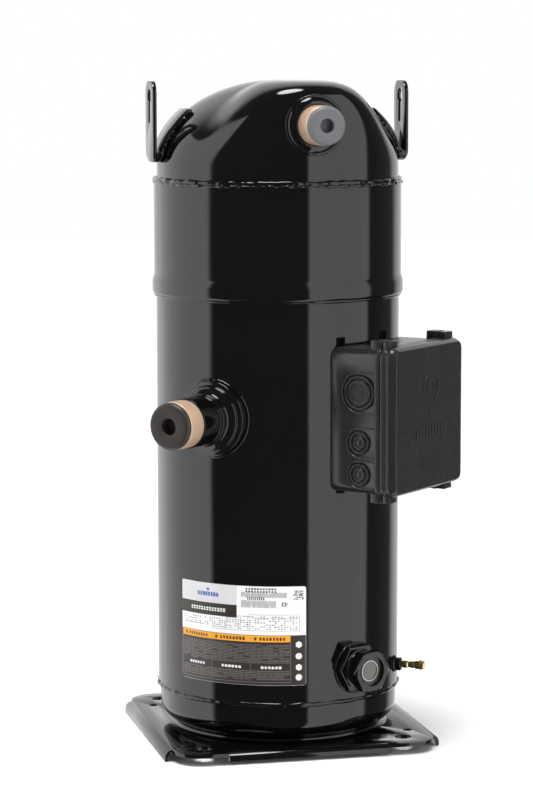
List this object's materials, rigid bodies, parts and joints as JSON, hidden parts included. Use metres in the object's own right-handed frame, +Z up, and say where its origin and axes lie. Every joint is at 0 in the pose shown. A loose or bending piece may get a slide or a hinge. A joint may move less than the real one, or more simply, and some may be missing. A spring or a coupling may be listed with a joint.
{
  "type": "scroll compressor",
  "caption": "Upright hermetic scroll compressor: black welded shell on a square mounting plate, with copper suction and discharge stubs, a terminal box, sight glass, oil valve and lifting lugs.",
  "frame": {"origin": "shell axis at the flat underside of the mounting plate; the plate's folded lips hang 8 mm below it", "axes": "+Z up along the shell axis, -Y the front (discharge tube side), +X to the right along the plate's front edge"},
  "size_m": [0.3247, 0.3061, 0.6585],
  "materials": {
    "gloss_black_paint": "high gloss",
    "copper": "satin copper",
    "black_plastic": "satin moulding",
    "black_rubber": "matt",
    "sight_glass": "clear, oiled behind",
    "brass": "machined",
    "label_film": "printed film, no lettering",
    "machined_steel": "ground",
    "cast_iron": "machined casting",
    "bearing_bronze": "turned",
    "lamination_steel": "stacked sheet",
    "cast_aluminium": "die cast",
    "enamelled_wire": "varnished copper wire",
    "pressed_steel": "pressed",
    "seal_grey": "filled polymer",
    "ferrite": "sintered",
    "module_case": "potted",
    "lead_sleeve": "woven sleeve"
  },
  "bodies": {
    "casing": {"base_plate": "gloss_black_paint", "bottom_cap": "gloss_black_paint", "center_shell": "gloss_black_paint", "upper_shell_ring": "gloss_black_paint", "top_cap": "gloss_black_paint", "lifting_lug_left": "gloss_black_paint", "lifting_lug_right": "gloss_black_paint", "discharge_fitting": "gloss_black_paint", "discharge_tube": "copper", "suction_fitting": "gloss_black_paint", "suction_tube": "copper", "terminal_box": "black_plastic", "hermetic_terminal": "machined_steel", "terminal_pin_u": "brass", "terminal_pin_v": "brass", "terminal_pin_w": "brass", "protection_module": "module_case", "sight_glass_boss": "gloss_black_paint", "sight_glass_nut": "gloss_black_paint", "sight_glass_lens": "sight_glass", "oil_valve_base": "gloss_black_paint", "oil_valve_body": "brass", "name_plate": "label_film", "main_bearing_housing": "cast_iron", "main_bearing_bush": "bearing_bronze", "lower_bearing_spider": "cast_iron", "lower_bearing_bush": "bearing_bronze", "thrust_washer": "bearing_bronze", "stator_core": "lamination_steel", "stator_winding": "enamelled_wire", "muffler_plate": "pressed_steel", "check_valve_cage": "pressed_steel", "relief_valve_body": "machined_steel", "relief_spring": "machined_steel", "sump_magnet": "ferrite", "motor_lead_u": "lead_sleeve", "motor_lead_v": "lead_sleeve", "motor_lead_w": "lead_sleeve", "guide_bolt_1": "machined_steel", "guide_bolt_2": "machined_steel", "guide_bolt_3": "machined_steel"},
    "shaft": {"crankshaft": "machined_steel", "rotor_core": "lamination_steel", "rotor_end_ring_lower": "cast_aluminium", "rotor_end_ring_upper": "cast_aluminium", "upper_counterweight": "cast_iron", "lower_counterweight": "cast_iron", "drive_bushing": "bearing_bronze", "oil_pickup": "machined_steel"},
    "orbiting": {"orbiting_scroll": "cast_iron"},
    "oldham": {"oldham_ring": "machined_steel"},
    "fixed": {"fixed_scroll": "cast_iron"},
    "seal": {"floating_seal": "seal_grey"},
    "check_disc": {"check_valve_disc": "machined_steel"},
    "poppet": {"relief_poppet": "brass"},
    "suction_stopper": {"suction_plug": "black_rubber"},
    "discharge_stopper": {"discharge_plug": "black_rubber"},
    "box_lid": {"terminal_cover": "black_plastic"},
    "valve_cap": {"oil_valve_cap": "brass"},
    "valve_pin": {"oil_valve_pin": "machined_steel"}
  },
  "joints": [
    {"name": "crank_spin", "type": "hinge", "parent": "casing", "child": "shaft", "pos_m": [0, 0, 0.3], "axis": [0, 0, 1], "continuous": true},
    {"name": "scroll_orbit", "type": "hinge", "parent": "shaft", "child": "orbiting", "pos_m": [0.0054, 0, 0.47], "axis": [0, 0, 1], "continuous": true},
    {"name": "oldham_follow", "type": "hinge", "parent": "shaft", "child": "oldham", "pos_m": [0.0027, 0, 0.472], "axis": [0, 0, 1], "continuous": true},
    {"name": "fixed_scroll_float", "type": "slide", "parent": "casing", "child": "fixed", "axis": [0, 0, 1], "range_m": [0, 0.001]},
    {"name": "seal_lift", "type": "slide", "parent": "fixed", "child": "seal", "axis": [0, 0, 1], "range_m": [0, 0.0012]},
    {"name": "check_valve_lift", "type": "slide", "parent": "casing", "child": "check_disc", "axis": [0, 0, 1], "range_m": [0, 0.003]},
    {"name": "relief_lift", "type": "slide", "parent": "casing", "child": "poppet", "axis": [0, 0, 1], "range_m": [0, 0.002], "stiffness_N_per_m": 2000, "deforming": ["relief_spring"]},
    {"name": "suction_plug_pull", "type": "slide", "parent": "casing", "child": "suction_stopper", "axis": [-0.7071, -0.7071, 0], "range_m": [0, 0.04]},
    {"name": "discharge_plug_pull", "type": "slide", "parent": "casing", "child": "discharge_stopper", "axis": [0.0698, -0.9976, 0], "range_m": [0, 0.04]},
    {"name": "cover_lift_off", "type": "slide", "parent": "casing", "child": "box_lid", "axis": [0.7071, -0.7071, 0], "range_m": [0, 0.05]},
    {"name": "oil_cap_pull", "type": "slide", "parent": "casing", "child": "valve_cap", "axis": [0.8746, -0.4848, 0], "range_m": [0, 0.015]},
    {"name": "oil_valve_press", "type": "slide", "parent": "casing", "child": "valve_pin", "axis": [-0.8746, 0.4848, 0], "range_m": [0, 0.0015], "stiffness_N_per_m": 1500}
  ],
  "couplings": [
    {"joint": "scroll_orbit", "follows": "crank_spin", "ratio": -1},
    {"joint": "oldham_follow", "follows": "crank_spin", "ratio": -1}
  ]
}
